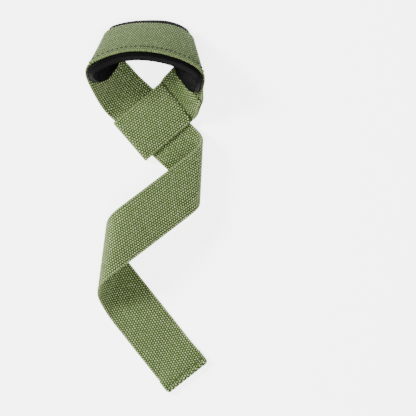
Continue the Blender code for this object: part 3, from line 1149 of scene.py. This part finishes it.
@dataclass(frozen=True)
class WristPad:
    """The pad under the wrist band: a foam core between two black knit faces."""

    strip: Strip
    length: float = 0.1297
    lead: float = 0.004
    half_width: float = 0.0238
    offset: float = 0.0024
    thickness: float = 0.005
    gap: float = 0.0011
    back_gap: float = 0.00015
    corner: float = 0.0205
    lip: float = 0.00032
    crown: float = 0.0004
    channel: float = 0.00055
    clear_of_floor: float = 0.0001
    row_inset: float = 0.0053
    webbing_half: float = 0.019
    face_points: int = 23
    corner_steps: int = 18
    step: float = 0.0009

    def _edge(self) -> list[tuple[float, float]]:
        """Return depth and inset pairs down the cut edge, from the back face to the front."""
        deep, lip = self.thickness / 2, self.lip
        return [
            (-deep + 0.00004, 0.00040), (-deep + 0.00018, 0.00012), (-deep + 0.0004, 0.0),
            (-deep + 0.00062, lip * 0.3), (-deep + 0.0008, lip), (-deep * 0.45, lip * 0.45), (0.0, lip * 0.25),
            (deep * 0.45, lip * 0.45), (deep - 0.0008, lip), (deep - 0.00062, lip * 0.3),
            (deep - 0.0004, 0.0), (deep - 0.00018, 0.00012), (deep - 0.00004, 0.00040),
        ]

    def _stations(self) -> list[tuple[float, float, float]]:
        """Return place from the pad's start, half width and edge direction of each ring."""
        rows, steps = [], self.corner_steps
        for k in range(steps + 1):
            turn = math.pi / 2 * k / steps
            rows.append(
                (self.corner * (1 - math.cos(turn)), self.half_width - self.corner * (1 - math.sin(turn)), turn)
            )
        straight = self.length - 2 * self.corner
        count = int(round(straight / self.step))
        rows += [(self.corner + straight * k / count, self.half_width, math.pi / 2) for k in range(1, count)]
        ends = [(self.length - place, width, math.pi - turn) for place, width, turn in reversed(rows[: steps + 1])]
        return rows + ends

    def _relief(self, across: Array, width: float, from_end: float) -> Array:
        """Return how far the skin face stands over its flat depth at points across."""
        pillow = self.crown * (1.0 - (across / width) ** 2)
        row = self.webbing_half - self.row_inset
        groove = np.exp(-(((across + self.offset + row) / 0.0011) ** 2))
        end = ease((from_end - 0.003) / 0.004)
        return (pillow - self.channel * groove) * end

    def body(self, knit: bpy.types.Material, foam: bpy.types.Material) -> bpy.types.Object:
        """Return the pad as one closed form, its cut edge a material of its own."""
        edge = self._edge()
        shares = np.linspace(-1.0, 1.0, self.face_points)
        level = 0.0011 + self.gap + self.thickness / 2
        rings, across_ring = [], None
        for place, width, turn in self._stations():
            inset = np.array([pair[1] for pair in edge])
            depths = np.array([pair[0] for pair in edge])
            lead, side = inset * math.cos(turn), inset * math.sin(turn)
            inner = width - edge[0][1] * math.sin(turn) - 0.0005
            row = shares * inner
            start = edge[0][1] * math.cos(turn)
            from_end = min(place, self.length - place)
            back = -self.thickness / 2 - (self.gap - self.back_gap) * ease(from_end / 0.002) * 0.9
            front = self.thickness / 2 + self._relief(row, width, from_end)
            along = np.concatenate([np.full(len(row), start), lead, np.full(len(row), start), lead[::-1]])
            across = np.concatenate([row, width - side, row[::-1], -(width - side)[::-1]])
            deep = np.concatenate([np.full(len(row), back), depths, front[::-1], depths[::-1]])
            places = self.strip.pad_from - self.lead + place + along
            rings.append(self.strip.surface(places, across + self.offset, level + deep))
            across_ring = across if across_ring is None or width >= self.half_width - 1e-6 else across_ring
        rings = np.array(rings)
        rings[..., 2] = np.maximum(rings[..., 2], self.clear_of_floor)
        stations = np.array([place for place, _w, _t in self._stations()])
        mesh, size = lofted("wrist_pad_body", rings, stations, across_ring, caps=False)
        faces = self._caps(size, len(edge), len(rings))
        return self._finished(mesh, faces, size, len(edge), knit, foam)

    def _caps(self, size: int, edge: int, count: int) -> list[tuple[int, ...]]:
        """Return the faces that close both ends."""
        points = self.face_points
        right = [points + k for k in range(edge)]
        left = [size - 1 - k for k in range(edge)]
        bands = [tuple([*range(points), right[0], left[0]])]
        bands += [(left[k], right[k], right[k + 1], left[k + 1]) for k in range(edge - 1)]
        bands.append(tuple([*range(points + edge, 2 * points + edge), left[-1], right[-1]]))
        last = (count - 1) * size
        return bands + [tuple(last + corner for corner in reversed(band)) for band in bands]

    def _finished(
        self, mesh: bpy.types.Mesh, faces: list[tuple[int, ...]], size: int, edge: int,
        knit: bpy.types.Material, foam: bpy.types.Material,
    ) -> bpy.types.Object:
        """Close the pad's mesh and give its cut edge the foam finish."""
        shell = bmesh.new()
        shell.from_mesh(mesh)
        shell.verts.ensure_lookup_table()
        for face in faces:
            shell.faces.new([shell.verts[k] for k in face])
        shell.faces.ensure_lookup_table()
        foam_rows = range(3, edge - 4)
        foam_corners = {self.face_points + k for k in foam_rows} | {size - 2 - k for k in foam_rows}
        foam_points = {self.face_points + k for k in range(4, edge - 4)} | {size - 1 - k for k in range(4, edge - 4)}
        for face in shell.faces:
            corners = {vert.index % size for vert in face.verts}
            if corners & foam_points and foam_corners:
                face.material_index = 1
        shell.to_mesh(mesh)
        shell.free()
        return add_piece("wrist_pad_body", mesh, knit, foam)

    def build(self) -> list[bpy.types.Object]:
        pad = self.body(KnitFinish().make(), FoamFinish().make())
        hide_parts("wrist_pad")
        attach(pad, "root")
        return [pad]


@dataclass(frozen=True)
class Studio:
    """The pale floor, the soft lights and the camera straight over the strap."""

    frame_middle: tuple[float, float] = (0.0463, -0.0006)
    frame_width: float = 0.3128
    camera_height: float = 5.0
    sensor: float = 36.0
    floor_size: float = 3.0
    key_power: float = 50.0
    fill_power: float = 6.0
    top_power: float = 14.0
    sky: float = 0.45

    def _floor(self) -> None:
        """Add the floor."""
        half = self.floor_size / 2
        mesh = bpy.data.meshes.new("studio_floor")
        mesh.from_pydata(
            [(-half, -half, 0.0), (half, -half, 0.0), (half, half, 0.0), (-half, half, 0.0)], [], [(0, 1, 2, 3)]
        )
        mesh.materials.append(FloorFinish().make())
        floor = bpy.data.objects.new("studio_floor", mesh)
        bpy.context.scene.collection.objects.link(floor)

    def _softbox(self, name: str, power: float, spot: tuple[float, float, float], size: float) -> None:
        """Add a square soft light that points at the middle of the strap."""
        data = bpy.data.lights.new(name, "AREA")
        data.energy, data.size = power, size
        lamp = bpy.data.objects.new(name, data)
        lamp.location = spot
        lamp.rotation_euler = (-Vector(spot)).to_track_quat("-Z", "Y").to_euler()
        bpy.context.scene.collection.objects.link(lamp)

    def build(self) -> None:
        """Add floor, lights, sky and camera to the scene."""
        scene = bpy.context.scene
        self._floor()
        self._softbox("key_softbox", self.key_power, (-1.15, 0.55, 0.95), 0.4)
        self._softbox("fill_softbox", self.fill_power, (0.8, -0.5, 1.3), 1.2)
        self._softbox("top_softbox", self.top_power, (0.0, -0.5, 1.5), 0.5)
        world = bpy.data.worlds.new("pale_sky")
        world.use_nodes = True
        backdrop = world.node_tree.nodes["Background"]
        backdrop.inputs["Color"].default_value = (1.0, 1.0, 1.0, 1.0)
        backdrop.inputs["Strength"].default_value = self.sky
        scene.world = world
        lens = bpy.data.cameras.new("overhead_camera")
        lens.sensor_width = self.sensor
        lens.lens = self.sensor * self.camera_height / self.frame_width
        lens.clip_end = 20.0
        camera = bpy.data.objects.new("overhead_camera", lens)
        camera.location = (*self.frame_middle, self.camera_height)
        scene.collection.objects.link(camera)
        scene.camera = camera


def main() -> None:
    """Build the strap piece by piece and set it in the studio."""
    strip = Strip.along(StripLine())
    yarn = YarnTree()
    webbing = Webbing(strip).build(yarn)
    pad = WristPad(strip).build()
    stitching = Stitching(strip).build(yarn)
    for piece in (*webbing, *pad, *stitching):
        LOG.info("%s: %d faces", piece.name, len(piece.data.polygons))
    LOG.info("webbing length %.4f m", strip.length)
    Studio().build()


if __name__ == "__main__":
    main()
